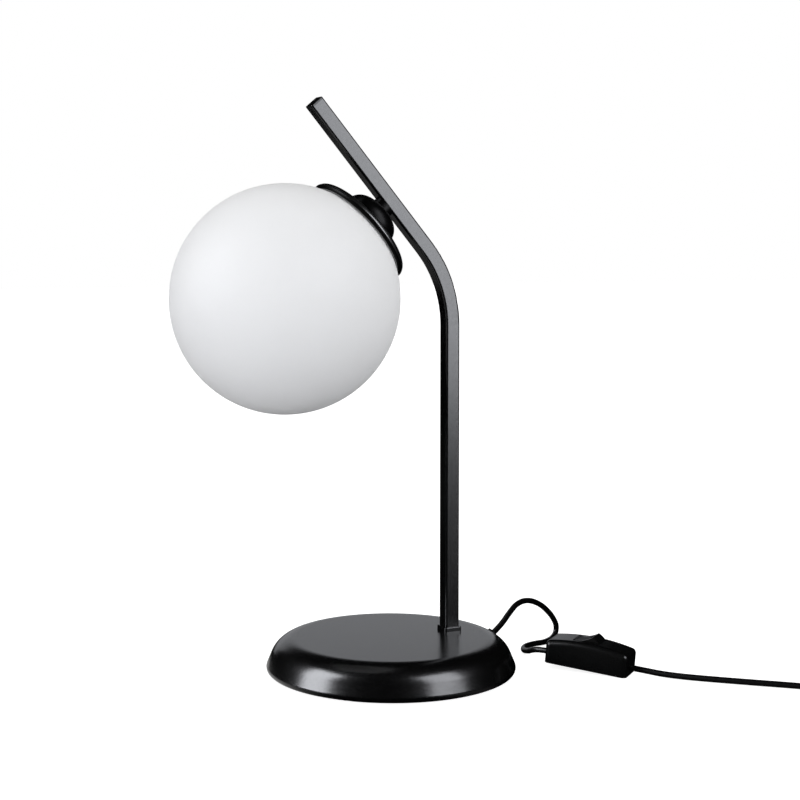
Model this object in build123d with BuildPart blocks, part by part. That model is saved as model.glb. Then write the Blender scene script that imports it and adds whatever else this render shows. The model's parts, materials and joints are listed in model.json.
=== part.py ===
"""Glass globe table lamp: square bent stem on a round pressed base, opal globe hung under the arm.

Millimetres, +Z up. The origin is the centre of the base on the table. The stem stands at +X, the
globe hangs towards -X and the cord leaves the base at +X. The lamp is symmetric about the XZ plane.
"""
from build123d import *
from math import asin, cos, dist, pi, radians, sin, sqrt, tan
import os

os.makedirs("parts", exist_ok=True)

# ---------------------------------------------------------------- driving sizes: base
SHELL_HEIGHT = 22.0          # from the rolled lip to the flat top
SHELL_WALL = 1.0
BASE_RADIUS = 84.0           # widest, at the rolled lip
FLANK_LEAN = 22.6            # degrees that the flank leans in from upright
SHOULDER_RADIUS = 17.0
LIP_RADIUS = 3.0
LIP_FLANGE = 2.2             # flat turned in under the lip
PAD_PROUD = 0.5              # how far the pad holds the lip off the table
PAD_THICKNESS = 1.5
PAD_MARGIN = 1.0             # bare lip outside the pad
COVER_THICKNESS = 1.0
COVER_SCREW_CIRCLE = 48.0
COVER_SCREW_COUNT = 3
COVER_SCREW_RADIUS = 1.45
COVER_SCREW_LENGTH = 7.0
COVER_SCREW_HEAD_RADIUS = 3.0
COVER_SCREW_HEAD_HEIGHT = 1.2
BALLAST_INSET = 20.0         # from the base's edge
BALLAST_THICKNESS = 7.0
BALLAST_BOSS_RADIUS = 5.0
CLAMP_X = 34.0               # cord clamp's place under the ballast
CLAMP_Y = -20.0
CORD_DROP = 6.8              # cord's axis below the ballast
BLOCK_X = 10.0               # terminal block's place
BLOCK_LENGTH = 20.0
BLOCK_WIDTH = 16.0
BLOCK_HEIGHT = 9.8
BLOCK_SCREW_RADIUS = 1.6
BLOCK_SCREW_LENGTH = 3.0
BLOCK_SCREW_SUNK = 2.0
CORD_INSIDE_BASE = 17.0      # straight from the exit
CORD_TURN_X = 50.0           # where the cord turns towards the clamp
CLAMP_LENGTH = 8.0
CLAMP_WIDTH = 19.0
CLAMP_SCREW_SPACING = 13.0
WIRE_TERMINAL_PITCH = 8.0
FIXING_SCREW_RADIUS = 1.2
FIXING_SCREW_BITE = 4.0
FIXING_SCREW_HEAD_RADIUS = 2.3
FIXING_SCREW_HEAD_HEIGHT = 1.4

# ---------------------------------------------------------------- driving sizes: stem
STEM_X = 44.5                # stem axis from the base's centre
TUBE_SIDE = 10.4
TUBE_WALL = 1.0
TUBE_CORNER = 1.5
BEND_START = 231.5           # height at which the upright ends
BEND_RADIUS = 82.0           # of the tube's centreline
ARM_LEAN = 40.5              # degrees that the arm leans from upright
ARM_LENGTH = 123.3           # straight tube past the bend
CAP_HEAD = 1.0
CAP_DOME = 0.5
CAP_PLUG_LENGTH = 9.0
FOOT_SIDE = 12.8             # square collar at the foot of the tube
FOOT_HEIGHT = 3.0
FOOT_SEAT = 2.0              # depth of the tube's seat in the collar
FOOT_PLUG_LENGTH = 10.0
THREAD_RADIUS = 4.0          # hollow M8 threads at the foot and the head
THREAD_BORE_RADIUS = 2.5
NUT_ACROSS_FLATS = 13.0
NUT_HEIGHT = 5.0
THREAD_PROUD = 0.6           # thread that shows past the nut
WASHER_RADIUS = 8.0
WASHER_THICKNESS = 1.2

# ---------------------------------------------------------------- driving sizes: globe and fitting
HEAD_ALONG_ARM = 40.5        # from the end of the bend to the globe's axis
GLOBE_RADIUS = 75.0
GLASS_THICKNESS = 3.0
GLOBE_HOLE_RADIUS = 30.0
GLOBE_TO_ARM = 93.5          # globe's centre to the arm's underside
SPACER_RADIUS = 7.4
SPACER_HEIGHT = 5.2
CUP_RADIUS = 19.8
CUP_HEIGHT = 13.8
CUP_SHOULDER = 9.8
CUP_WALL = 0.8
PLATE_WALL = 1.0
PLATE_FLAT_RADIUS = 20.5
PLATE_RADIUS = 40.6
PLATE_SHOULDER_DROP = 4.1    # flat top down to the shoulder
PLATE_BAND = 3.0             # height of the upright band
PLATE_RIM_RADIUS = 38.3      # edge that lies over the glass
GLASS_GAP = 0.3
CLIP_COUNT = 3
CLIP_WIDTH = 6.0
CLIP_THICKNESS = 0.6
RIVET_RADIUS = 1.2
RIVET_CIRCLE = 15.0
CLIP_START = 30.0
SPIGOT_RADIUS = 3.2
HEAD_NUT_HEIGHT = 2.8
HEAD_NUT_FLATS = 12.0

# ---------------------------------------------------------------- driving sizes: lampholder and bulb
HOLDER_CAP_RADIUS = 13.0
HOLDER_CAP_HEIGHT = 10.0
HOLDER_BODY_RADIUS = 14.0
HOLDER_BODY_HEIGHT = 27.0
HOLDER_WALL = 1.6
SLEEVE_WALL = 0.5
INSERT_STANDING = 1.5
INSERT_HANGING = 5.7
CONTACT_HEIGHT = 1.2
BULB_TIP_HEIGHT = 1.8
BULB_TIP_RADIUS = 2.3
BULB_CAP_RADIUS = 6.9        # E14 lamp cap
BULB_CAP_HEIGHT = 21.0
BULB_RADIUS = 22.5
BULB_NECK_RADIUS = 15.0
BULB_GLASS_THICKNESS = 1.0
BULB_LENGTH = 78.0

# ---------------------------------------------------------------- driving sizes: cord and fittings
CORD_DIAMETER = 4.0
WIRE_RADIUS = 1.1
WIRE_SPACING = 2.4
EXIT_TILT = 38.0             # degrees that the cord's exit points up
BUSHING_LIP_RADIUS = 4.2
BUSHING_LIP = 1.0
BUSHING_BARREL_RADIUS = 3.4
BUSHING_CLAW_RADIUS = 4.0
BUSHING_CLAW = 1.6
BUSHING_DEPTH = 3.2
CORD_CLEARANCE = 0.1

# ---------------------------------------------------------------- driving sizes: inline switch
SWITCH_FOOT = (139.4, -79.0, 0.0)   # middle of the lower edge of the end that rests on the table
SWITCH_HEADING = -50.3       # degrees, from the lamp's end to the plug's end
SWITCH_LIFT = 4.8            # the stiff cord holds the lamp's end off the table
SWITCH_LENGTH = 57.0
SWITCH_WIDTH = 25.0
SWITCH_HEIGHT = 18.0
SWITCH_WALL = 1.8
SWITCH_SPLIT = 9.0           # joint line between the two shells
SWITCH_CORNER = 3.5          # upright corners
SWITCH_TOP_EDGE = 3.6
SWITCH_CORD_HEIGHT = 4.6     # cord's axis above the underside
SWITCH_CROWN = 3.1           # how far the top drops towards its ends
ROCKER_FROM_LAMP_END = 27.0
ROCKER_RADIUS = 11.4         # of the ends, about the pivot
ROCKER_PIVOT_DEPTH = 7.1     # pivot below the top face
ROCKER_HALF_ANGLE = 36.0     # from the middle of the finger face to its ends, about the pivot
ROCKER_WIDTH = 14.2
ROCKER_TILT = 15.5           # each way from level
ROCKER_DISH = 1.2            # depth of the hollow finger face
PIVOT_RADIUS = 1.3
PIVOT_RIB = 2.6              # thickness of the ribs that hold the pivot
PIVOT_RIB_WIDTH = 6.4
PIVOT_HUB_RADIUS = 2.4
ROCKER_SKIRT_ANGLE = 84.0    # from the middle of the finger face to the skirt's edge
GRIP_COUNT = 3               # raised lines along the finger face
GRIP_SPACING = 3.4
GRIP_WIDTH = 0.8
GRIP_HEIGHT = 0.3
SWITCH_SCREW_INSET = 4.9     # from the end
SWITCH_SCREW_ASIDE = 8.0     # from the middle
SWITCH_SCREW_RADIUS = 1.1
SWITCH_SCREW_HEAD_RADIUS = 2.2
SWITCH_SCREW_HEAD_HEIGHT = 1.6
SWITCH_SCREW_SUNK = 2.5      # depth of the head's pocket
SWITCH_SCREW_BITE = 3.5
SWITCH_BOSS_RADIUS = 3.0
SWITCH_BOSS_HEIGHT = 4.5
TERMINAL_LENGTH = 6.0
TERMINAL_WIDTH = 9.0
TERMINAL_OVER_CORD = 2.4     # terminal's top above the cord's axis
CONTACT_LENGTH = 18.0
CONTACT_WIDTH = 5.0
CONTACT_THICKNESS = 0.4
CORD_INSIDE_SWITCH = 6.5
RUNNING_FIT = 0.05           # shaft to hole
LOOSE_FIT = 0.15
MOVING_GAP = 0.3

# ---------------------------------------------------------------- driving sizes: plug and coil
COIL_CENTRE = (262.0, -162.0)
COIL_OUTER = 26.6            # radius of the outermost turn's centreline
COIL_INNER = 15.2
COIL_LAYERS = 4
COIL_TURNS_PER_LAYER = 2.5
COIL_LAYER_PITCH = 4.6
COIL_START_ANGLE = 222.0     # degrees, where the cord runs into the coil
COIL_SIDES = 8
PLUG_LENGTH = 36.0
PLUG_WIDTH = 35.0
PLUG_THICKNESS = 13.7
PLUG_NECK_RADIUS = 5.0
PLUG_SHOULDER = 0.45         # share of the body's length over which it widens
PLUG_CORNER = 5.0
PLUG_REACH = 62.0            # from the coil, along the cord
PLUG_ASIDE = 16.0
RELIEF_LENGTH = 24.0         # tapered strain relief behind the plug
RELIEF_TIP_RADIUS = 2.9
PIN_RADIUS = 2.0
PIN_LENGTH = 19.0
PIN_SPACING = 18.6
PIN_BEDDED = 10.0


# ---------------------------------------------------------------- worked-out places: base
SHELL_BOTTOM = PAD_PROUD
BASE_TOP = SHELL_BOTTOM + SHELL_HEIGHT
BALLAST_RADIUS = BASE_RADIUS - BALLAST_INSET
BALLAST_TOP = BASE_TOP - SHELL_WALL
BALLAST_UNDERSIDE = BALLAST_TOP - BALLAST_THICKNESS
COVER_TOP = PAD_THICKNESS + COVER_THICKNESS
LIP_OPENING = BASE_RADIUS - LIP_RADIUS - LIP_FLANGE
FLANK_FOOT = BASE_RADIUS - LIP_RADIUS + LIP_RADIUS * tan(radians(90 + FLANK_LEAN) / 2)
FLANK_TOP = FLANK_FOOT - SHELL_HEIGHT * tan(radians(FLANK_LEAN))
SHOULDER_X = FLANK_TOP - SHOULDER_RADIUS * tan(radians(90 - FLANK_LEAN) / 2)
SHOULDER_Z = BASE_TOP - SHOULDER_RADIUS
EXIT_X = SHOULDER_X + SHOULDER_RADIUS * cos(radians(EXIT_TILT))
EXIT_Z = SHOULDER_Z + SHOULDER_RADIUS * sin(radians(EXIT_TILT))

# ---------------------------------------------------------------- worked-out places: head
LEAN = radians(ARM_LEAN)
ARM_DIRECTION = Vector(-sin(LEAN), 0, cos(LEAN))
ARM_NORMAL = Vector(cos(LEAN), 0, sin(LEAN))
BEND_END = Vector(STEM_X - BEND_RADIUS + BEND_RADIUS * cos(LEAN), 0, BEND_START + BEND_RADIUS * sin(LEAN))
ARM_AT_HEAD = BEND_END + ARM_DIRECTION * HEAD_ALONG_ARM
HEAD_ORIGIN = ARM_AT_HEAD - ARM_NORMAL * (TUBE_SIDE / 2)
HEAD = Plane(origin=HEAD_ORIGIN, x_dir=-ARM_DIRECTION, z_dir=ARM_NORMAL)
HEAD_SECTION = Plane(origin=HEAD_ORIGIN, x_dir=-ARM_DIRECTION, z_dir=Vector(0, -1, 0))
HEAD_AXIS = Axis(HEAD_ORIGIN, ARM_NORMAL)
CUP_TOP = -SPACER_HEIGHT
PLATE_TOP = CUP_TOP - CUP_HEIGHT
PLATE_UNDERSIDE = PLATE_TOP - PLATE_WALL
RIM_EDGE = sqrt((GLOBE_RADIUS + GLASS_GAP) ** 2 - PLATE_RIM_RADIUS ** 2) - GLOBE_TO_ARM
HEAD_NUT_BOTTOM = PLATE_UNDERSIDE - HEAD_NUT_HEIGHT
HOLDER_TOP = HEAD_NUT_BOTTOM
HOLDER_BODY_TOP = HOLDER_TOP - HOLDER_CAP_HEIGHT
HOLDER_MOUTH = HOLDER_BODY_TOP - HOLDER_BODY_HEIGHT
STUD_BOTTOM = HOLDER_TOP - 6.0


def corner_radii(points):
    """Largest sensible arc at each corner of a cord's route."""
    path = [Vector(*point) for point in points]
    radii = []
    for before, here, after in zip(path, path[1:], path[2:]):
        run_in = here - before
        run_out = after - here
        turn = radians(run_in.get_angle(run_out))
        radii.append(0.45 * min(run_in.length, run_out.length) / tan(turn / 2))
    return radii


def add_tube(points, diameter, radii=None):
    """Sweep a round section along straight runs joined by tangent arcs; return its length."""
    with BuildLine() as route:
        FilletPolyline(*points, radius=radii or corner_radii(points))
    with BuildSketch(Plane(origin=route.line @ 0, z_dir=route.line % 0)) as section:
        Circle(diameter / 2)
    sweep(section.sketch, path=route.wires()[0])
    return route.wires()[0].length


def add_ring(plane, outer, inner, start, height):
    """Add a flat ring or, without a bore, a disc, from one level of a plane to another."""
    with BuildSketch(plane.offset(start)) as section:
        Circle(outer)
        if inner:
            Circle(inner, mode=Mode.SUBTRACT)
    extrude(section.sketch, amount=height)


def save(piece, label):
    """Name a finished piece and write it."""
    piece.part.label = label
    export_step(piece.part, f"parts/{label}.step")
    return piece.part


def head_section(angle=0.0):
    """Upright section plane through the globe's axis, turned about it."""
    turn = radians(angle)
    outward = HEAD.x_dir * cos(turn) + HEAD.y_dir * sin(turn)
    across = HEAD.x_dir * sin(turn) - HEAD.y_dir * cos(turn)
    return Plane(origin=HEAD_ORIGIN, x_dir=outward, z_dir=across)


def on_stem(height):
    """Level plane centred on the upright tube."""
    return Plane.XY.offset(height).move(Location((STEM_X, 0, 0)))


def add_square(plane, side, corner, height):
    """Add a square bar with rounded corners on a plane."""
    with BuildSketch(plane) as section:
        RectangleRounded(side, side, corner)
    extrude(section.sketch, amount=height)


def add_screw(plane, head_radius, head_height, shank_radius, length):
    """Add a pan-head screw: head below the plane, shank above it."""
    add_ring(plane, head_radius, 0, 0, -head_height)
    add_ring(plane, shank_radius, 0, 0, length)


# ---------------------------------------------------------------- base
EXIT = Plane(
    origin=(EXIT_X, 0, EXIT_Z),
    x_dir=(0, 1, 0),
    z_dir=(cos(radians(EXIT_TILT)), 0, sin(radians(EXIT_TILT))),
)

with BuildPart() as base_shell:
    with BuildSketch(Plane.XZ):
        with BuildLine():
            FilletPolyline(
                (0, BASE_TOP),
                (FLANK_TOP, BASE_TOP),
                (FLANK_FOOT, SHELL_BOTTOM),
                (LIP_OPENING, SHELL_BOTTOM),
                radius=(SHOULDER_RADIUS, LIP_RADIUS),
            )
            offset(amount=SHELL_WALL, side=Side.RIGHT)
        make_face()
    revolve(axis=Axis.Z)
    with BuildSketch(on_stem(BASE_TOP)):
        Circle(THREAD_RADIUS + LOOSE_FIT)
    extrude(amount=-2 * SHELL_WALL, mode=Mode.SUBTRACT)
    with BuildSketch(EXIT.offset(BUSHING_LIP)):
        Circle(BUSHING_BARREL_RADIUS + RUNNING_FIT)
    extrude(amount=-3 * SHELL_WALL, mode=Mode.SUBTRACT)
save(base_shell, "base_shell")

FIXING_SPOTS = (
    (CLAMP_X, CLAMP_Y + CLAMP_SCREW_SPACING / 2),
    (CLAMP_X, CLAMP_Y - CLAMP_SCREW_SPACING / 2),
    (BLOCK_X, CLAMP_Y),
)

with BuildPart() as ballast:
    add_ring(Plane.XY, BALLAST_RADIUS, 0, BALLAST_UNDERSIDE, BALLAST_THICKNESS)
    with BuildSketch(Plane.XY.offset(COVER_TOP)):
        with PolarLocations(COVER_SCREW_CIRCLE, COVER_SCREW_COUNT, 60):
            Circle(BALLAST_BOSS_RADIUS)
    extrude(until=Until.NEXT)
    with BuildSketch(Plane.XY.offset(COVER_TOP)):
        with PolarLocations(COVER_SCREW_CIRCLE, COVER_SCREW_COUNT, 60):
            Circle(COVER_SCREW_RADIUS + RUNNING_FIT)
    extrude(amount=COVER_SCREW_LENGTH + 1, mode=Mode.SUBTRACT)
    with BuildSketch(on_stem(BALLAST_UNDERSIDE)):
        Circle(THREAD_RADIUS + LOOSE_FIT)
    extrude(amount=BALLAST_THICKNESS, mode=Mode.SUBTRACT)
    with BuildSketch(Plane.XY.offset(BALLAST_UNDERSIDE)):
        with Locations(*FIXING_SPOTS):
            Circle(FIXING_SCREW_RADIUS + RUNNING_FIT)
    extrude(amount=FIXING_SCREW_BITE + 0.5, mode=Mode.SUBTRACT)
save(ballast, "ballast")

with BuildPart() as bottom_cover:
    add_ring(Plane.XY, LIP_OPENING - RUNNING_FIT, 0, PAD_THICKNESS, COVER_THICKNESS)
    with BuildSketch(Plane.XY.offset(PAD_THICKNESS)):
        with PolarLocations(COVER_SCREW_CIRCLE, COVER_SCREW_COUNT, 60):
            Circle(COVER_SCREW_RADIUS + LOOSE_FIT)
    extrude(amount=COVER_THICKNESS, mode=Mode.SUBTRACT)
save(bottom_cover, "bottom_cover")

with BuildPart() as base_pad:
    add_ring(Plane.XY, LIP_OPENING - PAD_MARGIN, 0, 0, PAD_THICKNESS)
    with BuildSketch(Plane.XY):
        with PolarLocations(COVER_SCREW_CIRCLE, COVER_SCREW_COUNT, 60):
            Circle(COVER_SCREW_HEAD_RADIUS + PAD_MARGIN)
    extrude(amount=PAD_THICKNESS, mode=Mode.SUBTRACT)
save(base_pad, "base_pad")

with BuildPart() as cover_screws:
    for spot in PolarLocations(COVER_SCREW_CIRCLE, COVER_SCREW_COUNT, 60).locations:
        add_screw(
            Plane(origin=spot.position + Vector(0, 0, PAD_THICKNESS)),
            COVER_SCREW_HEAD_RADIUS,
            COVER_SCREW_HEAD_HEIGHT,
            COVER_SCREW_RADIUS,
            COVER_SCREW_LENGTH,
        )
save(cover_screws, "cover_screws")

with BuildPart() as cord_bushing:
    add_ring(EXIT, BUSHING_LIP_RADIUS, 0, 0, BUSHING_LIP)
    add_ring(EXIT, BUSHING_BARREL_RADIUS, 0, -BUSHING_DEPTH, BUSHING_DEPTH)
    add_ring(EXIT, BUSHING_CLAW_RADIUS, 0, -BUSHING_DEPTH, BUSHING_CLAW)
    with BuildSketch(EXIT.offset(BUSHING_LIP)):
        Circle(CORD_DIAMETER / 2 + CORD_CLEARANCE)
    extrude(amount=-2 * BUSHING_DEPTH, mode=Mode.SUBTRACT)
save(cord_bushing, "cord_bushing")

CORD_START = EXIT.origin + EXIT.z_dir * BUSHING_LIP
CORD_LEVEL = BALLAST_UNDERSIDE - CORD_DROP
BLOCK_FACE = BLOCK_X + BLOCK_LENGTH / 2

with BuildPart() as cord_tail:
    tail_length = add_tube(
        (
            CORD_START,
            CORD_START - EXIT.z_dir * CORD_INSIDE_BASE,
            (CORD_TURN_X, CLAMP_Y, CORD_LEVEL),
            (BLOCK_FACE, CLAMP_Y, CORD_LEVEL),
        ),
        CORD_DIAMETER,
    )
save(cord_tail, "cord_tail")

FIXING_LEVEL = BALLAST_UNDERSIDE - BLOCK_HEIGHT

with BuildPart() as cord_clamp:
    with BuildSketch(Plane.XY.offset(FIXING_LEVEL)):
        with Locations((CLAMP_X, CLAMP_Y)):
            RectangleRounded(CLAMP_LENGTH, CLAMP_WIDTH, 2)
        with Locations(*FIXING_SPOTS[:2]):
            Circle(FIXING_SCREW_RADIUS + LOOSE_FIT, mode=Mode.SUBTRACT)
    extrude(amount=BLOCK_HEIGHT)
    with BuildSketch(Plane.YZ.offset(CLAMP_X - CLAMP_LENGTH)):
        with Locations((CLAMP_Y, CORD_LEVEL)):
            Circle(CORD_DIAMETER / 2 + CORD_CLEARANCE)
    extrude(amount=2 * CLAMP_LENGTH, mode=Mode.SUBTRACT)
save(cord_clamp, "cord_clamp")

TERMINAL_SPOTS = [
    (BLOCK_X + dx, CLAMP_Y + dy) for dx in (-6, 6) for dy in (-WIRE_TERMINAL_PITCH / 2, WIRE_TERMINAL_PITCH / 2)
]

with BuildPart() as terminal_block:
    with BuildSketch(Plane.XY.offset(FIXING_LEVEL)):
        with Locations((BLOCK_X, CLAMP_Y)):
            RectangleRounded(BLOCK_LENGTH, BLOCK_WIDTH, 1)
            Circle(FIXING_SCREW_RADIUS + LOOSE_FIT, mode=Mode.SUBTRACT)
    extrude(amount=BLOCK_HEIGHT)
    with BuildSketch(Plane.XY.offset(FIXING_LEVEL)):
        with Locations(*TERMINAL_SPOTS):
            Circle(BLOCK_SCREW_RADIUS + LOOSE_FIT)
    extrude(amount=BLOCK_SCREW_SUNK + BLOCK_SCREW_LENGTH, mode=Mode.SUBTRACT)
save(terminal_block, "terminal_block")

with BuildPart() as terminal_screws:
    with BuildSketch(Plane.XY.offset(FIXING_LEVEL + BLOCK_SCREW_SUNK)):
        with Locations(*TERMINAL_SPOTS):
            Circle(BLOCK_SCREW_RADIUS)
    extrude(amount=BLOCK_SCREW_LENGTH)
save(terminal_screws, "terminal_screws")

with BuildPart() as fixing_screws:
    for spot in FIXING_SPOTS:
        add_screw(
            Plane(origin=(spot[0], spot[1], FIXING_LEVEL)),
            FIXING_SCREW_HEAD_RADIUS,
            FIXING_SCREW_HEAD_HEIGHT,
            FIXING_SCREW_RADIUS,
            BLOCK_HEIGHT + FIXING_SCREW_BITE,
        )
save(fixing_screws, "fixing_screws")

# ---------------------------------------------------------------- stem
SEAT = BASE_TOP + FOOT_HEIGHT - FOOT_SEAT
NUT_TOP = BALLAST_UNDERSIDE - WASHER_THICKNESS
NUT_BOTTOM = NUT_TOP - NUT_HEIGHT
BEND_CORNER = BEND_START + BEND_RADIUS * tan(LEAN / 2)
ARM_END = BEND_END + ARM_DIRECTION * ARM_LENGTH

with BuildPart() as stem_foot:
    add_square(on_stem(BASE_TOP), FOOT_SIDE, TUBE_CORNER, FOOT_HEIGHT)
    fillet(stem_foot.faces().sort_by(Axis.Z)[-1].edges(), 0.5)
    with BuildSketch(on_stem(SEAT)):
        RectangleRounded(TUBE_SIDE + 2 * RUNNING_FIT, TUBE_SIDE + 2 * RUNNING_FIT, TUBE_CORNER)
    extrude(amount=FOOT_SEAT, mode=Mode.SUBTRACT)
    plug_side = TUBE_SIDE - 2 * TUBE_WALL - 2 * RUNNING_FIT
    add_square(on_stem(SEAT), plug_side, TUBE_CORNER - TUBE_WALL, FOOT_PLUG_LENGTH)
    add_ring(on_stem(BASE_TOP), THREAD_RADIUS, 0, 0, NUT_BOTTOM - THREAD_PROUD - BASE_TOP)
    with BuildSketch(on_stem(NUT_BOTTOM - THREAD_PROUD)):
        Circle(THREAD_BORE_RADIUS)
    extrude(amount=SEAT + FOOT_PLUG_LENGTH - NUT_BOTTOM + THREAD_PROUD, mode=Mode.SUBTRACT)
save(stem_foot, "stem_foot")

with BuildPart() as stem_tube:
    with BuildLine() as stem_route:
        FilletPolyline((STEM_X, 0, SEAT), (STEM_X, 0, BEND_CORNER), ARM_END, radius=BEND_RADIUS)
    with BuildSketch(on_stem(SEAT)):
        RectangleRounded(TUBE_SIDE, TUBE_SIDE, TUBE_CORNER)
        RectangleRounded(
            TUBE_SIDE - 2 * TUBE_WALL,
            TUBE_SIDE - 2 * TUBE_WALL,
            TUBE_CORNER - TUBE_WALL,
            mode=Mode.SUBTRACT,
        )
    sweep(path=stem_route.wires()[0])
    with BuildSketch(HEAD.offset(-TUBE_WALL)):
        Circle(SPIGOT_RADIUS + RUNNING_FIT)
    extrude(amount=3 * TUBE_WALL, mode=Mode.SUBTRACT)
save(stem_tube, "stem_tube")

ARM_TIP = Plane(origin=ARM_END, x_dir=(0, 1, 0), z_dir=ARM_DIRECTION)

with BuildPart() as stem_cap:
    add_square(ARM_TIP, TUBE_SIDE, TUBE_CORNER, CAP_HEAD + CAP_DOME)
    fillet(stem_cap.faces().sort_by(Axis(ARM_END, ARM_DIRECTION))[-1].edges(), CAP_DOME)
    add_square(ARM_TIP, plug_side, TUBE_CORNER - TUBE_WALL, -CAP_PLUG_LENGTH)
save(stem_cap, "stem_cap")

with BuildPart() as stem_washer:
    add_ring(on_stem(NUT_TOP), WASHER_RADIUS, THREAD_RADIUS + LOOSE_FIT, 0, WASHER_THICKNESS)
save(stem_washer, "stem_washer")

with BuildPart() as stem_nut:
    with BuildSketch(on_stem(NUT_BOTTOM)):
        RegularPolygon(NUT_ACROSS_FLATS / 2, 6, major_radius=False)
        Circle(THREAD_RADIUS + RUNNING_FIT, mode=Mode.SUBTRACT)
    extrude(amount=NUT_HEIGHT)
save(stem_nut, "stem_nut")

# ---------------------------------------------------------------- globe fitting
with BuildPart() as head_stud:
    add_ring(HEAD, THREAD_RADIUS, 0, 0, STUD_BOTTOM)
    add_ring(HEAD, SPIGOT_RADIUS, 0, 0, TUBE_WALL)
    with BuildSketch(HEAD.offset(STUD_BOTTOM)):
        Circle(THREAD_BORE_RADIUS)
    extrude(amount=TUBE_WALL - STUD_BOTTOM, mode=Mode.SUBTRACT)
save(head_stud, "head_stud")

STUD_HOLE = THREAD_RADIUS + RUNNING_FIT

with BuildPart() as head_spacer:
    add_ring(HEAD, SPACER_RADIUS, STUD_HOLE, 0, -SPACER_HEIGHT)
save(head_spacer, "head_spacer")

with BuildPart() as holder_cup:
    with BuildSketch(HEAD_SECTION):
        with BuildLine():
            FilletPolyline(
                (STUD_HOLE, CUP_TOP),
                (CUP_RADIUS, CUP_TOP),
                (CUP_RADIUS, PLATE_TOP),
                radius=CUP_SHOULDER,
            )
            offset(amount=CUP_WALL, side=Side.RIGHT)
        make_face()
    revolve(axis=HEAD_AXIS)
save(holder_cup, "holder_cup")

RIVET_SPOTS = PolarLocations(RIVET_CIRCLE, CLIP_COUNT, CLIP_START).locations

with BuildPart() as fitter_plate:
    with BuildSketch(HEAD_SECTION):
        with BuildLine():
            FilletPolyline(
                (STUD_HOLE, PLATE_TOP),
                (PLATE_FLAT_RADIUS, PLATE_TOP),
                (PLATE_RADIUS - 1.6, PLATE_TOP - PLATE_SHOULDER_DROP),
                (PLATE_RADIUS, PLATE_TOP - PLATE_SHOULDER_DROP - PLATE_BAND),
                (PLATE_RIM_RADIUS, RIM_EDGE),
                radius=(6.0, 2.5, 2.0),
            )
            offset(amount=PLATE_WALL, side=Side.RIGHT)
        make_face()
    revolve(axis=HEAD_AXIS)
    with BuildSketch(HEAD.offset(PLATE_TOP)):
        with PolarLocations(RIVET_CIRCLE, CLIP_COUNT, CLIP_START):
            Circle(RIVET_RADIUS + RUNNING_FIT)
    extrude(amount=-2 * PLATE_WALL, mode=Mode.SUBTRACT)
save(fitter_plate, "fitter_plate")

with BuildPart() as head_nut:
    with BuildSketch(HEAD.offset(PLATE_UNDERSIDE)):
        RegularPolygon(HEAD_NUT_FLATS / 2, 6, major_radius=False)
        Circle(STUD_HOLE, mode=Mode.SUBTRACT)
    extrude(amount=-HEAD_NUT_HEIGHT)
save(head_nut, "head_nut")

with BuildPart() as globe:
    with BuildSketch(HEAD_SECTION):
        with Locations((0, -GLOBE_TO_ARM)):
            Circle(GLOBE_RADIUS)
            Circle(GLOBE_RADIUS - GLASS_THICKNESS, mode=Mode.SUBTRACT)
        with Locations((0, -GLOBE_TO_ARM)):
            Rectangle(
                2 * GLOBE_RADIUS,
                2 * GLOBE_RADIUS + 2,
                align=(Align.MAX, Align.CENTER),
                mode=Mode.SUBTRACT,
            )
            Rectangle(
                GLOBE_HOLE_RADIUS,
                GLOBE_RADIUS + 2,
                align=(Align.MIN, Align.MIN),
                mode=Mode.SUBTRACT,
            )
        hole_rim = vertices().filter_by(lambda v: HEAD_SECTION.to_local_coords(v).Y > -40)
        fillet(hole_rim, 1.2)
    revolve(axis=HEAD_AXIS)
save(globe, "globe")

RIM_INNER = sqrt((GLOBE_RADIUS - GLASS_THICKNESS) ** 2 - GLOBE_HOLE_RADIUS**2) - GLOBE_TO_ARM

for number in range(CLIP_COUNT):
    clip_angle = CLIP_START + number * 360 / CLIP_COUNT
    with BuildPart() as globe_clip:
        with BuildSketch(head_section(clip_angle)):
            with BuildLine():
                FilletPolyline(
                    (RIVET_CIRCLE - 3, PLATE_UNDERSIDE),
                    (RIVET_CIRCLE + 3.5, PLATE_UNDERSIDE),
                    (GLOBE_HOLE_RADIUS - 1.0, RIM_INNER + 4.5),
                    (GLOBE_HOLE_RADIUS - 0.3, RIM_INNER - 0.4),
                    (GLOBE_HOLE_RADIUS + 1.2, RIM_INNER - 3.0),
                    (GLOBE_HOLE_RADIUS - 2.5, RIM_INNER - 7.0),
                    radius=(1.5, 2.0, 1.0, 1.2),
                )
                offset(amount=CLIP_THICKNESS, side=Side.RIGHT)
            make_face()
        extrude(amount=CLIP_WIDTH / 2, both=True)
        with BuildSketch(HEAD.offset(PLATE_UNDERSIDE)):
            with PolarLocations(RIVET_CIRCLE, CLIP_COUNT, CLIP_START):
                Circle(RIVET_RADIUS + RUNNING_FIT)
        extrude(amount=-2 * CLIP_THICKNESS, mode=Mode.SUBTRACT)
    save(globe_clip, f"globe_clip_{number + 1}")

with BuildPart() as clip_rivets:
    with BuildSketch(HEAD.offset(PLATE_UNDERSIDE - CLIP_THICKNESS)):
        with Locations(*RIVET_SPOTS):
            Circle(RIVET_RADIUS)
    extrude(amount=PLATE_WALL + CLIP_THICKNESS)
    for level, rise in ((PLATE_TOP, 0.7), (PLATE_UNDERSIDE - CLIP_THICKNESS, -0.7)):
        with BuildSketch(HEAD.offset(level)):
            with Locations(*RIVET_SPOTS):
                Circle(2 * RIVET_RADIUS)
        extrude(amount=rise)
save(clip_rivets, "clip_rivets")

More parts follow.
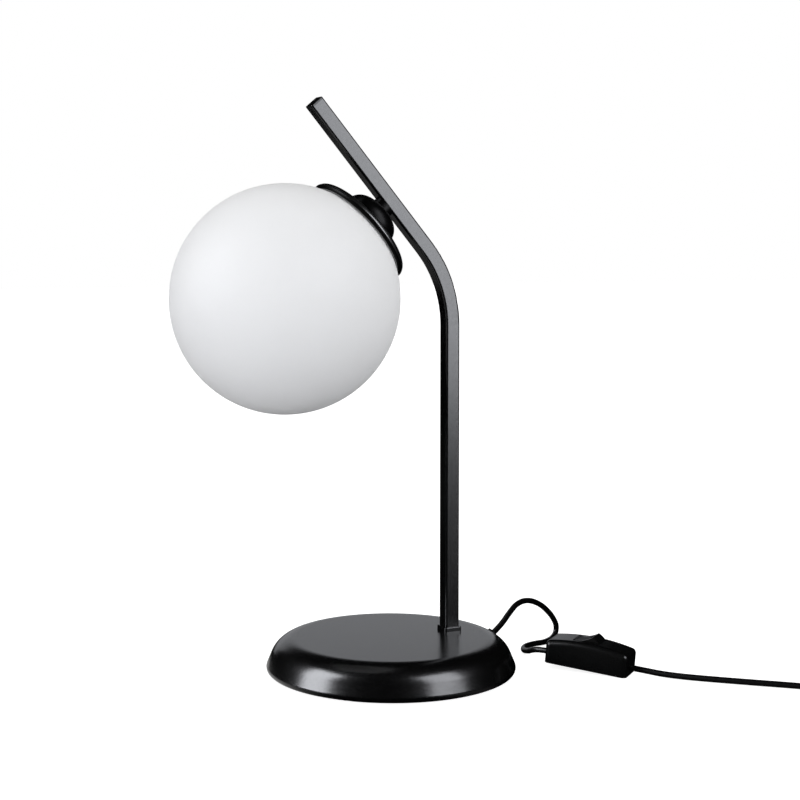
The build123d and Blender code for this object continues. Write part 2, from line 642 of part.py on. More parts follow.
# ---------------------------------------------------------------- lampholder and bulb
INSERT_TOP = HOLDER_TOP - HOLDER_CAP_HEIGHT + INSERT_STANDING
SLEEVE_TOP = HOLDER_BODY_TOP - INSERT_HANGING
BULB_TIP_TOP = SLEEVE_TOP - CONTACT_HEIGHT
BULB_CENTRE = BULB_TIP_TOP - BULB_LENGTH + BULB_RADIUS
COLLAR_BOTTOM = BULB_CENTRE + sqrt(BULB_RADIUS**2 - BULB_NECK_RADIUS**2)

with BuildPart() as lamp_holder_cap:
    add_ring(HEAD, HOLDER_CAP_RADIUS, 0, HOLDER_TOP, -HOLDER_CAP_HEIGHT)
    fillet(lamp_holder_cap.edges().group_by(HEAD_AXIS)[-1], 2.0)
    with BuildSketch(HEAD.offset(HOLDER_BODY_TOP)):
        Circle(HOLDER_CAP_RADIUS - HOLDER_WALL)
    extrude(amount=HOLDER_CAP_HEIGHT - HOLDER_WALL, mode=Mode.SUBTRACT)
    add_ring(HEAD, THREAD_RADIUS + HOLDER_WALL, 0, STUD_BOTTOM, HOLDER_TOP - HOLDER_WALL - STUD_BOTTOM)
    with BuildSketch(HEAD.offset(HOLDER_BODY_TOP)):
        Circle(STUD_HOLE)
    extrude(amount=HOLDER_CAP_HEIGHT, mode=Mode.SUBTRACT)
save(lamp_holder_cap, "lamp_holder_cap")

with BuildPart() as lamp_holder_insert:
    add_ring(HEAD, HOLDER_CAP_RADIUS - HOLDER_WALL - 0.1, 0, INSERT_TOP, SLEEVE_TOP - INSERT_TOP)
    add_ring(HEAD, HOLDER_BODY_RADIUS - HOLDER_WALL - 0.1, 0, HOLDER_BODY_TOP, -2)
save(lamp_holder_insert, "lamp_holder_insert")

with BuildPart() as lamp_holder_skirt:
    add_ring(HEAD, HOLDER_BODY_RADIUS, 0, HOLDER_BODY_TOP, -HOLDER_BODY_HEIGHT)
    fillet(lamp_holder_skirt.edges().group_by(HEAD_AXIS)[0], 1.0)
    with BuildSketch(HEAD.offset(HOLDER_MOUTH)):
        Circle(HOLDER_BODY_RADIUS - HOLDER_WALL)
    extrude(amount=HOLDER_BODY_HEIGHT, mode=Mode.SUBTRACT)
save(lamp_holder_skirt, "lamp_holder_skirt")

SLEEVE_INNER = BULB_CAP_RADIUS + LOOSE_FIT

with BuildPart() as lamp_holder_sleeve:
    add_ring(HEAD, SLEEVE_INNER + SLEEVE_WALL, SLEEVE_INNER, SLEEVE_TOP, HOLDER_MOUTH + 1 - SLEEVE_TOP)
save(lamp_holder_sleeve, "lamp_holder_sleeve")

with BuildPart() as lamp_holder_contact:
    add_ring(HEAD, 3.0, 0, SLEEVE_TOP, -CONTACT_HEIGHT)
save(lamp_holder_contact, "lamp_holder_contact")

with BuildPart() as bulb_tip:
    add_ring(HEAD, BULB_TIP_RADIUS, 0, BULB_TIP_TOP, -BULB_TIP_HEIGHT)
    fillet(bulb_tip.edges().group_by(HEAD_AXIS)[-1], 0.8)
save(bulb_tip, "bulb_tip")

CAP_TOP = BULB_TIP_TOP - BULB_TIP_HEIGHT
CAP_BOTTOM = CAP_TOP - BULB_CAP_HEIGHT

with BuildPart() as bulb_cap:
    with BuildSketch(HEAD_SECTION):
        with BuildLine():
            Polyline(
                (0, CAP_TOP),
                (BULB_TIP_RADIUS, CAP_TOP),
                (BULB_CAP_RADIUS, CAP_TOP - 3),
                (BULB_CAP_RADIUS, CAP_BOTTOM),
                (0, CAP_BOTTOM),
                close=True,
            )
        make_face()
    revolve(axis=HEAD_AXIS)
save(bulb_cap, "bulb_cap")

with BuildPart() as bulb_collar:
    with BuildSketch(HEAD_SECTION):
        with BuildLine():
            Polyline((0, CAP_BOTTOM), (BULB_CAP_RADIUS + 1.2, CAP_BOTTOM))
            ThreePointArc(
                (BULB_CAP_RADIUS + 1.2, CAP_BOTTOM),
                ((BULB_CAP_RADIUS + BULB_NECK_RADIUS) / 2, (CAP_BOTTOM + COLLAR_BOTTOM) / 2),
                (BULB_NECK_RADIUS, COLLAR_BOTTOM),
            )
            Polyline((BULB_NECK_RADIUS, COLLAR_BOTTOM), (0, COLLAR_BOTTOM), (0, CAP_BOTTOM))
        make_face()
    revolve(axis=HEAD_AXIS)
save(bulb_collar, "bulb_collar")

with BuildPart() as bulb_glass:
    with BuildSketch(HEAD_SECTION):
        with Locations((0, BULB_CENTRE)):
            Circle(BULB_RADIUS)
            Circle(BULB_RADIUS - BULB_GLASS_THICKNESS, mode=Mode.SUBTRACT)
            Rectangle(
                2 * BULB_RADIUS,
                2 * BULB_RADIUS + 2,
                align=(Align.MAX, Align.CENTER),
                mode=Mode.SUBTRACT,
            )
        with Locations((0, COLLAR_BOTTOM)):
            Rectangle(BULB_RADIUS, BULB_RADIUS, align=(Align.MIN, Align.MIN), mode=Mode.SUBTRACT)
    revolve(axis=HEAD_AXIS)
save(bulb_glass, "bulb_glass")

# ---------------------------------------------------------------- wires
WIRE_EXIT = NUT_BOTTOM - THREAD_PROUD - 3.6
BLOCK_BACK = BLOCK_X - BLOCK_LENGTH / 2


def wire_route(side):
    """Points of one insulated wire from the terminal block to the lampholder; side is +1 or -1."""
    y = side * WIRE_SPACING / 2
    start_y = CLAMP_Y - side * WIRE_TERMINAL_PITCH / 2
    turn_x = BLOCK_BACK - 10 - side * WIRE_SPACING / 2
    insert = HEAD.from_local_coords((0, 0, INSERT_TOP))
    return (
        (BLOCK_BACK, start_y, CORD_LEVEL),
        (turn_x, start_y, CORD_LEVEL),
        (turn_x, y, WIRE_EXIT),
        (STEM_X, y, WIRE_EXIT),
        (STEM_X, y, BEND_CORNER),
        ARM_AT_HEAD + Vector(0, y, 0),
        Vector(insert.X, y, insert.Z),
    )


for side, name in ((1, "wire_live"), (-1, "wire_neutral")):
    with BuildPart() as wire:
        add_tube(wire_route(side), 2 * WIRE_RADIUS, (5.0, 5.0, 2.5, BEND_RADIUS, 2.5))
    save(wire, name)

# ---------------------------------------------------------------- inline switch
HEADING = radians(SWITCH_HEADING)
LEAN_DOWN = asin(SWITCH_LIFT / SWITCH_LENGTH)
SWITCH = Plane(
    origin=SWITCH_FOOT,
    x_dir=(cos(HEADING) * cos(LEAN_DOWN), sin(HEADING) * cos(LEAN_DOWN), -sin(LEAN_DOWN)),
    z_dir=(cos(HEADING) * sin(LEAN_DOWN), sin(HEADING) * sin(LEAN_DOWN), cos(LEAN_DOWN)),
)
SWITCH_SIDE = Plane(origin=SWITCH_FOOT, x_dir=SWITCH.x_dir, z_dir=-SWITCH.y_dir)
PIVOT_X = ROCKER_FROM_LAMP_END - SWITCH_LENGTH
PIVOT_Z = SWITCH_HEIGHT - ROCKER_PIVOT_DEPTH


def add_switch_form(inset, edge, corner):
    """Add the switch's crowned block, shrunk by a wall thickness, with rounded edges."""
    with BuildSketch(SWITCH_SIDE) as section:
        with BuildLine():
            Polyline(
                (-inset, SWITCH_HEIGHT - SWITCH_CROWN - inset),
                (-inset, inset),
                (inset - SWITCH_LENGTH, inset),
                (inset - SWITCH_LENGTH, SWITCH_HEIGHT - SWITCH_CROWN - inset),
            )
            ThreePointArc(
                (inset - SWITCH_LENGTH, SWITCH_HEIGHT - SWITCH_CROWN - inset),
                (-SWITCH_LENGTH / 2, SWITCH_HEIGHT - inset),
                (-inset, SWITCH_HEIGHT - SWITCH_CROWN - inset),
            )
        make_face()
    extrude(section.sketch, amount=SWITCH_WIDTH / 2 - inset, both=True)
    form = BuildPart._get_context()
    along = form.faces().sort_by(Axis(SWITCH_FOOT, SWITCH.z_dir))[-1]
    long_edges = along.edges().sort_by(SortBy.LENGTH)[-2:]
    fillet(long_edges, edge)
    ends = form.faces().sort_by(Axis(SWITCH_FOOT, SWITCH.x_dir))
    under = form.faces().sort_by(Axis(SWITCH_FOOT, SWITCH.z_dir))[0]
    rounded = ShapeList(
        e for end in (ends[0], ends[-1]) for e in end.edges() if not any(e.is_same(u) for u in under.edges())
    )
    fillet(rounded, corner)


with BuildPart() as switch_form:
    add_switch_form(0, SWITCH_TOP_EDGE, SWITCH_CORNER)

with BuildPart() as switch_hollow:
    add_switch_form(SWITCH_WALL, SWITCH_TOP_EDGE - SWITCH_WALL, SWITCH_CORNER - SWITCH_WALL)

SWITCH_SCREWS = (
    (SWITCH_SCREW_INSET - SWITCH_LENGTH, SWITCH_SCREW_ASIDE),
    (-SWITCH_SCREW_INSET, -SWITCH_SCREW_ASIDE),
)

with BuildPart() as switch_base:
    add(switch_form.part)
    split(bisect_by=SWITCH.offset(SWITCH_SPLIT), keep=Keep.BOTTOM)
    add(switch_hollow.part, mode=Mode.SUBTRACT)
    with BuildSketch(SWITCH.offset(SWITCH_WALL)):
        with Locations(*SWITCH_SCREWS):
            Circle(SWITCH_BOSS_RADIUS)
    extrude(amount=SWITCH_SPLIT - SWITCH_WALL)
    with BuildSketch(SWITCH):
        with Locations(*SWITCH_SCREWS):
            Circle(SWITCH_SCREW_HEAD_RADIUS + LOOSE_FIT)
    extrude(amount=SWITCH_SCREW_SUNK, mode=Mode.SUBTRACT)
    with BuildSketch(SWITCH):
        with Locations(*SWITCH_SCREWS):
            Circle(SWITCH_SCREW_RADIUS + LOOSE_FIT)
    extrude(amount=SWITCH_SPLIT, mode=Mode.SUBTRACT)
    with BuildSketch(Plane(origin=SWITCH_FOOT, x_dir=SWITCH.y_dir, z_dir=SWITCH.x_dir)):
        with Locations((0, SWITCH_CORD_HEIGHT)):
            Circle(CORD_DIAMETER / 2 + CORD_CLEARANCE)
    extrude(amount=-SWITCH_LENGTH, mode=Mode.SUBTRACT)
save(switch_base, "switch_base")

PIVOT_AXIS = Plane(
    origin=SWITCH.from_local_coords((PIVOT_X, 0, PIVOT_Z)),
    x_dir=SWITCH.x_dir,
    z_dir=-SWITCH.y_dir,
)

with BuildPart() as switch_cover:
    add(switch_form.part)
    split(bisect_by=SWITCH.offset(SWITCH_SPLIT), keep=Keep.TOP)
    add(switch_hollow.part, mode=Mode.SUBTRACT)
    with BuildSketch(SWITCH.offset(SWITCH_SPLIT)):
        with Locations(*SWITCH_SCREWS):
            Circle(SWITCH_BOSS_RADIUS)
    extrude(amount=SWITCH_BOSS_HEIGHT)
    with BuildSketch(SWITCH.offset(SWITCH_SPLIT)):
        with Locations(*SWITCH_SCREWS):
            Circle(SWITCH_SCREW_RADIUS + RUNNING_FIT)
    extrude(amount=SWITCH_BOSS_HEIGHT - 0.5, mode=Mode.SUBTRACT)
    for hand in (-1, 1):
        with BuildSketch(PIVOT_AXIS.offset(hand * (ROCKER_WIDTH / 2 + MOVING_GAP))):
            with Locations((0, -PIVOT_RADIUS - 1)):
                Rectangle(
                    PIVOT_RIB_WIDTH,
                    PIVOT_RADIUS + 1 + ROCKER_PIVOT_DEPTH - SWITCH_WALL / 2,
                    align=(Align.CENTER, Align.MIN),
                )
        extrude(amount=hand * PIVOT_RIB)
    with BuildSketch(PIVOT_AXIS):
        Circle(ROCKER_RADIUS + MOVING_GAP)
    extrude(amount=ROCKER_WIDTH / 2 + MOVING_GAP, both=True, mode=Mode.SUBTRACT)
    with BuildSketch(PIVOT_AXIS):
        Circle(PIVOT_RADIUS)
    extrude(amount=ROCKER_WIDTH / 2 + MOVING_GAP + PIVOT_RIB, both=True, mode=Mode.SUBTRACT)
save(switch_cover, "switch_cover")

with BuildPart() as switch_rocker:
    face_angle = radians(ROCKER_HALF_ANGLE)
    rise = ROCKER_RADIUS * cos(face_angle)
    reach = ROCKER_RADIUS * sin(face_angle)
    tail_angle = radians(ROCKER_SKIRT_ANGLE)
    with BuildSketch(PIVOT_AXIS):
        with BuildLine():
            ThreePointArc((-reach, rise), (0, rise - ROCKER_DISH), (reach, rise))
            RadiusArc(
                (reach, rise),
                (ROCKER_RADIUS * sin(tail_angle), ROCKER_RADIUS * cos(tail_angle)),
                ROCKER_RADIUS,
            )
            Polyline(
                (ROCKER_RADIUS * sin(tail_angle), ROCKER_RADIUS * cos(tail_angle)),
                (-ROCKER_RADIUS * sin(tail_angle), ROCKER_RADIUS * cos(tail_angle)),
            )
            RadiusArc(
                (-ROCKER_RADIUS * sin(tail_angle), ROCKER_RADIUS * cos(tail_angle)),
                (-reach, rise),
                ROCKER_RADIUS,
            )
        make_face()
    extrude(amount=ROCKER_WIDTH / 2, both=True)
    for line in range(GRIP_COUNT):
        aside = (line - (GRIP_COUNT - 1) / 2) * GRIP_SPACING
        with BuildSketch(PIVOT_AXIS.offset(aside)):
            with BuildLine():
                grip_reach = 0.86 * reach
                grip_end = rise - ROCKER_DISH * (1 - 0.86**2) + GRIP_HEIGHT
                grip_middle = rise - ROCKER_DISH + GRIP_HEIGHT
                ThreePointArc((-grip_reach, grip_end), (0, grip_middle), (grip_reach, grip_end))
                Polyline(
                    (grip_reach, grip_end),
                    (grip_reach, grip_middle - 1),
                    (-grip_reach, grip_middle - 1),
                    (-grip_reach, grip_end),
                )
            make_face()
        extrude(amount=GRIP_WIDTH / 2, both=True)
    with BuildSketch(PIVOT_AXIS):
        Circle(PIVOT_HUB_RADIUS)
    extrude(amount=ROCKER_WIDTH / 2, both=True)
    with BuildSketch(PIVOT_AXIS):
        Circle(PIVOT_RADIUS + RUNNING_FIT)
    extrude(amount=ROCKER_WIDTH / 2, both=True, mode=Mode.SUBTRACT)
PIVOT = Axis(PIVOT_AXIS.origin, PIVOT_AXIS.z_dir)
switch_rocker.part = switch_rocker.part.rotate(PIVOT, ROCKER_TILT)
save(switch_rocker, "switch_rocker")

with BuildPart() as switch_pivot:
    with BuildSketch(PIVOT_AXIS):
        Circle(PIVOT_RADIUS)
    extrude(amount=ROCKER_WIDTH / 2 + MOVING_GAP + PIVOT_RIB, both=True)
save(switch_pivot, "switch_pivot")

TERMINAL_TOP = SWITCH_CORD_HEIGHT + TERMINAL_OVER_CORD

with BuildPart() as switch_terminals:
    with BuildSketch(SWITCH.offset(SWITCH_WALL)):
        with Locations(
            (CORD_INSIDE_SWITCH + TERMINAL_LENGTH / 2 - SWITCH_LENGTH, 0),
            (-CORD_INSIDE_SWITCH - TERMINAL_LENGTH / 2, 0),
        ):
            Rectangle(TERMINAL_LENGTH, TERMINAL_WIDTH)
    extrude(amount=TERMINAL_TOP - SWITCH_WALL)
save(switch_terminals, "switch_terminals")

with BuildPart() as switch_contacts:
    with BuildSketch(SWITCH.offset(TERMINAL_TOP)):
        with Locations((CORD_INSIDE_SWITCH - SWITCH_LENGTH, 0)):
            Rectangle(CONTACT_LENGTH, CONTACT_WIDTH, align=(Align.MIN, Align.CENTER))
        with Locations((-CORD_INSIDE_SWITCH, 0)):
            Rectangle(CONTACT_LENGTH, CONTACT_WIDTH, align=(Align.MAX, Align.CENTER))
    extrude(amount=CONTACT_THICKNESS)
save(switch_contacts, "switch_contacts")

with BuildPart() as switch_screws:
    for spot in SWITCH_SCREWS:
        add_screw(
            Plane(origin=SWITCH.from_local_coords((*spot, SWITCH_SCREW_SUNK)), z_dir=SWITCH.z_dir),
            SWITCH_SCREW_HEAD_RADIUS,
            SWITCH_SCREW_HEAD_HEIGHT,
            SWITCH_SCREW_RADIUS,
            SWITCH_SPLIT + SWITCH_SCREW_BITE - SWITCH_SCREW_SUNK,
        )
save(switch_screws, "switch_screws")

# ---------------------------------------------------------------- cord from the base to the switch
SWITCH_ENTRY = SWITCH.from_local_coords((CORD_INSIDE_SWITCH - SWITCH_LENGTH, 0, SWITCH_CORD_HEIGHT))
SWITCH_EXIT = SWITCH.from_local_coords((-CORD_INSIDE_SWITCH, 0, SWITCH_CORD_HEIGHT))
RESTING = CORD_DIAMETER / 2 + 0.1

ARCH = (
    CORD_START,
    CORD_START + EXIT.z_dir * 8,
    (92.7, 1.4, 28.8),
    (100.5, 4.0, 34.5),
    (111.4, 7.4, 35.4),
    (124.9, 12.4, 29.9),
    (136.9, 18.4, 20.6),
    (144.0, 22.9, 12.8),
    (147.2, 26.3, 7.3),
    (145.0, 25.0, RESTING),
    (129.9, 11.7, RESTING),
    (118.8, 11.7, RESTING),
    (107.9, 6.9, RESTING),
    (102.4, -2.1, RESTING),
    (101.0, -13.0, 4.6),
    (96.5, -22.0, 7.8),
    SWITCH_ENTRY - SWITCH.x_dir * (CORD_INSIDE_SWITCH + 7),
    SWITCH_ENTRY,
)

with BuildPart() as cord_base_to_switch:
    arch_length = add_tube(ARCH, CORD_DIAMETER)
save(cord_base_to_switch, "cord_base_to_switch")

# ---------------------------------------------------------------- cord from the switch to the plug
COIL_LOW = CORD_DIAMETER / 2 + 0.1


def coil_point(quarter):
    """Centreline of the coil after a number of quarter turns."""
    per_layer = 4 * COIL_TURNS_PER_LAYER
    layer, into = divmod(quarter, per_layer)
    inward = into / per_layer if layer % 2 == 0 else 1 - into / per_layer
    radius = COIL_OUTER - (COIL_OUTER - COIL_INNER) * inward
    height = COIL_LOW + COIL_LAYER_PITCH * layer
    if into == 0 and 0 < layer < COIL_LAYERS:
        height -= COIL_LAYER_PITCH / 2
    if layer == COIL_LAYERS:
        height -= COIL_LAYER_PITCH
    angle = radians(COIL_START_ANGLE + 90 * quarter)
    return Vector(COIL_CENTRE[0] + radius * cos(angle), COIL_CENTRE[1] + radius * sin(angle), height)


def coil_spoke(quarter):
    """Distance of the coil's centreline from its axis."""
    point = coil_point(quarter)
    return sqrt((point.X - COIL_CENTRE[0]) ** 2 + (point.Y - COIL_CENTRE[1]) ** 2)


def coil_heading(quarter):
    """Direction of the coil's centreline at a quarter turn."""
    angle = radians(COIL_START_ANGLE + 90 * quarter)
    around = Vector(-sin(angle), cos(angle), 0)
    last = int(4 * COIL_TURNS_PER_LAYER * COIL_LAYERS)
    if quarter in (0, last):
        return around
    outward = Vector(cos(angle), sin(angle), 0)
    before, here, after = [coil_spoke(q) for q in (quarter - 1, quarter, quarter + 1)]
    reverses = quarter % (4 * COIL_TURNS_PER_LAYER) == 0
    climb = COIL_LAYER_PITCH * 1.5 if reverses else 0
    return (around * (pi * here) + outward * (after - before) + Vector(0, 0, climb)).normalized()


def add_biarc(start, leaving, end, arriving):
    """Join two points with two tangent arcs that leave and arrive in given directions."""
    chord = end - start
    both = leaving + arriving
    lead = chord.dot(both)
    spread = 2 * (1 - leaving.dot(arriving))
    reach = (-lead + sqrt(lead**2 + spread * chord.dot(chord))) / spread
    middle = (start + end + (leaving - arriving) * reach) / 2
    TangentArc(start, middle, tangent=leaving)
    TangentArc(end, middle, tangent=-arriving)


COIL_QUARTERS = int(4 * COIL_TURNS_PER_LAYER * COIL_LAYERS)

with BuildPart() as cord_coil:
    with BuildLine() as coil_route:
        for q in range(COIL_QUARTERS):
            add_biarc(coil_point(q), coil_heading(q), coil_point(q + 1), coil_heading(q + 1))
    with BuildSketch(Plane(origin=coil_point(0), z_dir=coil_heading(0))):
        RegularPolygon(CORD_DIAMETER / 2, COIL_SIDES)
    sweep(path=coil_route.wires()[0])
    coil_length = coil_route.wires()[0].length
save(cord_coil, "cord_coil")

COIL_IN = coil_point(0)
INTO_COIL = coil_heading(0)

TO_COIL = (
    SWITCH_EXIT,
    SWITCH_EXIT + SWITCH.x_dir * (CORD_INSIDE_SWITCH + 7),
    (157.0, -98.5, RESTING),
    (184.0, -124.5, RESTING),
    COIL_IN - INTO_COIL * 30,
    COIL_IN,
)

with BuildPart() as cord_switch_to_coil:
    lead_length = add_tube(TO_COIL, CORD_DIAMETER)
save(cord_switch_to_coil, "cord_switch_to_coil")

COIL_OUT = coil_point(COIL_QUARTERS)
LEAVING = coil_heading(COIL_QUARTERS)
ASIDE = Vector(-LEAVING.Y, LEAVING.X, 0)
PLUG_MIDDLE = PLUG_THICKNESS / 2
PLUG_NECK = COIL_OUT + LEAVING * PLUG_REACH + ASIDE * PLUG_ASIDE
PLUG_NECK = Vector(PLUG_NECK.X, PLUG_NECK.Y, PLUG_MIDDLE)
PLUG_HEADING = (LEAVING + ASIDE * 0.55).normalized()

TAIL = (
    COIL_OUT,
    COIL_OUT + LEAVING * 14,
    COIL_OUT + LEAVING * 31 + ASIDE * 2.0 + Vector(0, 0, -3.0),
    PLUG_NECK - PLUG_HEADING * 14,
    PLUG_NECK,
)

with BuildPart() as cord_plug_tail:
    plug_tail_length = add_tube(TAIL, CORD_DIAMETER)
save(cord_plug_tail, "cord_plug_tail")

PLUG = Plane(origin=PLUG_NECK, x_dir=(-PLUG_HEADING.Y, PLUG_HEADING.X, 0), z_dir=PLUG_HEADING).offset(
    RELIEF_LENGTH
)

with BuildPart() as plug_body:
    with BuildSketch(PLUG.offset(-RELIEF_LENGTH)):
        Circle(RELIEF_TIP_RADIUS)
    with BuildSketch(PLUG):
        Circle(PLUG_NECK_RADIUS)
    loft()
    with BuildSketch(PLUG):
        Circle(PLUG_NECK_RADIUS)
    with BuildSketch(PLUG.offset(PLUG_LENGTH * PLUG_SHOULDER)):
        RectangleRounded(PLUG_WIDTH, PLUG_THICKNESS, PLUG_CORNER)
    loft()
    with BuildSketch(PLUG.offset(PLUG_LENGTH * PLUG_SHOULDER)):
        RectangleRounded(PLUG_WIDTH, PLUG_THICKNESS, PLUG_CORNER)
    extrude(amount=PLUG_LENGTH * (1 - PLUG_SHOULDER))
    fillet(plug_body.edges().group_by(Axis(PLUG_NECK, PLUG_HEADING))[-1], 1.5)
    with BuildSketch(PLUG.offset(PLUG_LENGTH - PIN_BEDDED)):
        with Locations((-PIN_SPACING / 2, 0), (PIN_SPACING / 2, 0)):
            Circle(PIN_RADIUS)
    extrude(amount=PIN_BEDDED, mode=Mode.SUBTRACT)
save(plug_body, "plug_body")

with BuildPart() as plug_pins:
    with BuildSketch(PLUG.offset(PLUG_LENGTH - PIN_BEDDED)):
        with Locations((-PIN_SPACING / 2, 0), (PIN_SPACING / 2, 0)):
            Circle(PIN_RADIUS)
    extrude(amount=PIN_BEDDED + PIN_LENGTH)
    fillet(plug_pins.edges().group_by(Axis(PLUG_NECK, PLUG_HEADING))[-1], 1.2)
save(plug_pins, "plug_pins")

# ---------------------------------------------------------------- cord figures
steps = int(coil_length)
trace = [tuple(coil_route.wires()[0] @ (step / steps)) for step in range(steps + 1)]
turn = int(pi * COIL_INNER)
coil_gap = min(dist(trace[i], trace[j]) for i in range(steps) for j in range(i + turn, steps)) - CORD_DIAMETER
print("coil self-gap", round(coil_gap, 3), "turns' pitch", (COIL_OUTER - COIL_INNER) / COIL_TURNS_PER_LAYER)
print("lowest coil", cord_coil.part.bounding_box().min.Z)
section = pi * CORD_DIAMETER**2 / 4
print("cord lengths", tail_length, arch_length, lead_length, coil_length, plug_tail_length)
print("arch radii", [round(r, 1) for r in corner_radii(ARCH)])
print("to coil radii", [round(r, 1) for r in corner_radii(TO_COIL)])
print("plug tail radii", [round(r, 1) for r in corner_radii(TAIL)])
print("volume over section x length", cord_base_to_switch.part.volume / (section * arch_length))
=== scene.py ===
"""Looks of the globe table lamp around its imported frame. Metres, +Z up."""

import json
from math import asin, cos, pi, radians, sin

import bpy
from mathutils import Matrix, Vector


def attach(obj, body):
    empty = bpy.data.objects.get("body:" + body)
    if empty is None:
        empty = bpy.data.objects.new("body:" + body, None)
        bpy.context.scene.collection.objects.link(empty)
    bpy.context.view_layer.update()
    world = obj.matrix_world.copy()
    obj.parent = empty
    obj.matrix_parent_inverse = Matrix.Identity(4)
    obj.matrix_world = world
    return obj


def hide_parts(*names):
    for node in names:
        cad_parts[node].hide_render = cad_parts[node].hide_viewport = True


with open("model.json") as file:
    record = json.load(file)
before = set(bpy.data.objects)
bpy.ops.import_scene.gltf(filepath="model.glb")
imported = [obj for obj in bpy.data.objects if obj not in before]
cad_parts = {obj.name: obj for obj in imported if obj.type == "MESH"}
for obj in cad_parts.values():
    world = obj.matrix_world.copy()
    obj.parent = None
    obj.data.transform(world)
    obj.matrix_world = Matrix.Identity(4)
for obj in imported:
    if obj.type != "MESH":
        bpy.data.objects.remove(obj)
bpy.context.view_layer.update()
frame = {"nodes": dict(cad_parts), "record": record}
NODES = frame["nodes"]

# ---------------------------------------------------------------- camera
AZIMUTH = radians(24.887)
PITCH = radians(2.444)

camera_data = bpy.data.cameras.new("camera")
camera_data.lens = 71.3375
camera_data.sensor_width = 36.0
camera_data.shift_x = 0.04744
camera_data.shift_y = -0.11041
camera = bpy.data.objects.new("camera", camera_data)
bpy.context.collection.objects.link(camera)
camera.location = (-0.46374, -0.95337, 0.28706)
camera.rotation_euler = (pi / 2 - PITCH, 0, -AZIMUTH)
bpy.context.scene.camera = camera


# ---------------------------------------------------------------- cords
def millimetres(points):
    """Turn points written in millimetres into metres."""
    return [Vector(point) / 1000 for point in points]


def flex(name, points, radius):
    """Make a smooth round flex along control points."""
    curve = bpy.data.curves.new(name, "CURVE")
    curve.dimensions = "3D"
    curve.bevel_depth = 1.0
    curve.bevel_resolution = 5
    curve.use_fill_caps = True
    spline = curve.splines.new("NURBS")
    spline.points.add(len(points) - 1)
    for slot, point in zip(spline.points, points):
        slot.co = (point.x, point.y, point.z, 1.0)
        slot.radius = radius
    spline.order_u = 3
    spline.use_endpoint_u = True
    spline.resolution_u = 8
    piece = bpy.data.objects.new(name, curve)
    bpy.context.collection.objects.link(piece)
    return piece


def smooth(t):
    """Ease from 0 to 1."""
    return t * t * (3 - 2 * t)


CORD = 0.004
TABLE = 2.1                  # height of the cord's centre where it lies, in millimetres

HEADING = radians(-50.3)
SWITCH_LENGTH = 57.0
SWITCH_DROP = 4.8            # from the end by the lamp to the other end
CORD_BEDDED = 6.5            # in each end of the switch
CORD_HEIGHT = 4.6            # above the switch's underside
STRAIGHT = 13.5              # of cord outside the switch, before it bends
DIP = asin(SWITCH_DROP / SWITCH_LENGTH)
SWITCH_FOOT = Vector((139.4, -79.0, 0.0))
SWITCH_ALONG = Vector((cos(HEADING) * cos(DIP), sin(HEADING) * cos(DIP), -sin(DIP)))
SWITCH_UP = Vector((cos(HEADING) * sin(DIP), sin(HEADING) * sin(DIP), cos(DIP)))
SWITCH_ENTRY = SWITCH_FOOT + SWITCH_ALONG * (CORD_BEDDED - SWITCH_LENGTH) + SWITCH_UP * CORD_HEIGHT
SWITCH_EXIT = SWITCH_FOOT - SWITCH_ALONG * CORD_BEDDED + SWITCH_UP * CORD_HEIGHT
EXIT_LEAN = radians(38)
EXIT_TILT = Vector((cos(EXIT_LEAN), 0, sin(EXIT_LEAN)))

cord_start = Vector((79.1842, 0, 16.5819))

arch = flex(
    "flex_base_to_switch",
    millimetres(
        [
            cord_start,
            cord_start + EXIT_TILT * 8,
            (92.7, 1.4, 28.8),
            (100.5, 4.0, 34.5),
            (111.4, 7.4, 35.4),
            (124.9, 12.4, 29.9),
            (136.9, 18.4, 20.6),
            (144.0, 22.9, 12.8),
            (147.2, 26.3, 7.3),
            (145.0, 25.0, TABLE),
            (129.9, 11.7, TABLE),
            (118.8, 11.7, TABLE),
            (107.9, 6.9, TABLE),
            (102.4, -2.1, TABLE),
            (101.0, -13.0, 4.6),
            (96.5, -22.0, 7.8),
            SWITCH_ENTRY - SWITCH_ALONG * STRAIGHT,
            SWITCH_ENTRY,
        ]
    ),
    CORD / 2,
)

COIL_CENTRE = (262.0, -162.0)
COIL_OUTER = 26.6
COIL_INNER = 15.2
COIL_LAYERS = 4
TURNS_PER_LAYER = 2.5
LAYER_PITCH = 4.6
START_ANGLE = 222.0
POINTS_PER_TURN = 16


def coil_point(step):
    """Control point of the coil after a number of sixteenth turns."""
    per_layer = POINTS_PER_TURN * TURNS_PER_LAYER
    layer = min(int(step // per_layer), COIL_LAYERS - 1)
    into = step - layer * per_layer
    inward = into / per_layer if layer % 2 == 0 else 1 - into / per_layer
    radius = COIL_OUTER - (COIL_OUTER - COIL_INNER) * inward
    level = float(layer)
    quarter = POINTS_PER_TURN / 4
    if layer and into < quarter:
        level = layer - 1 + smooth(0.5 + into / quarter / 2)
    if layer < COIL_LAYERS - 1 and into > per_layer - quarter:
        level = layer + smooth((into - per_layer + quarter) / quarter / 2)
    angle = radians(START_ANGLE + 360 * step / POINTS_PER_TURN)
    radius /= cos(pi / POINTS_PER_TURN)
    return (
        COIL_CENTRE[0] + radius * cos(angle),
        COIL_CENTRE[1] + radius * sin(angle),
        TABLE + LAYER_PITCH * level,
    )


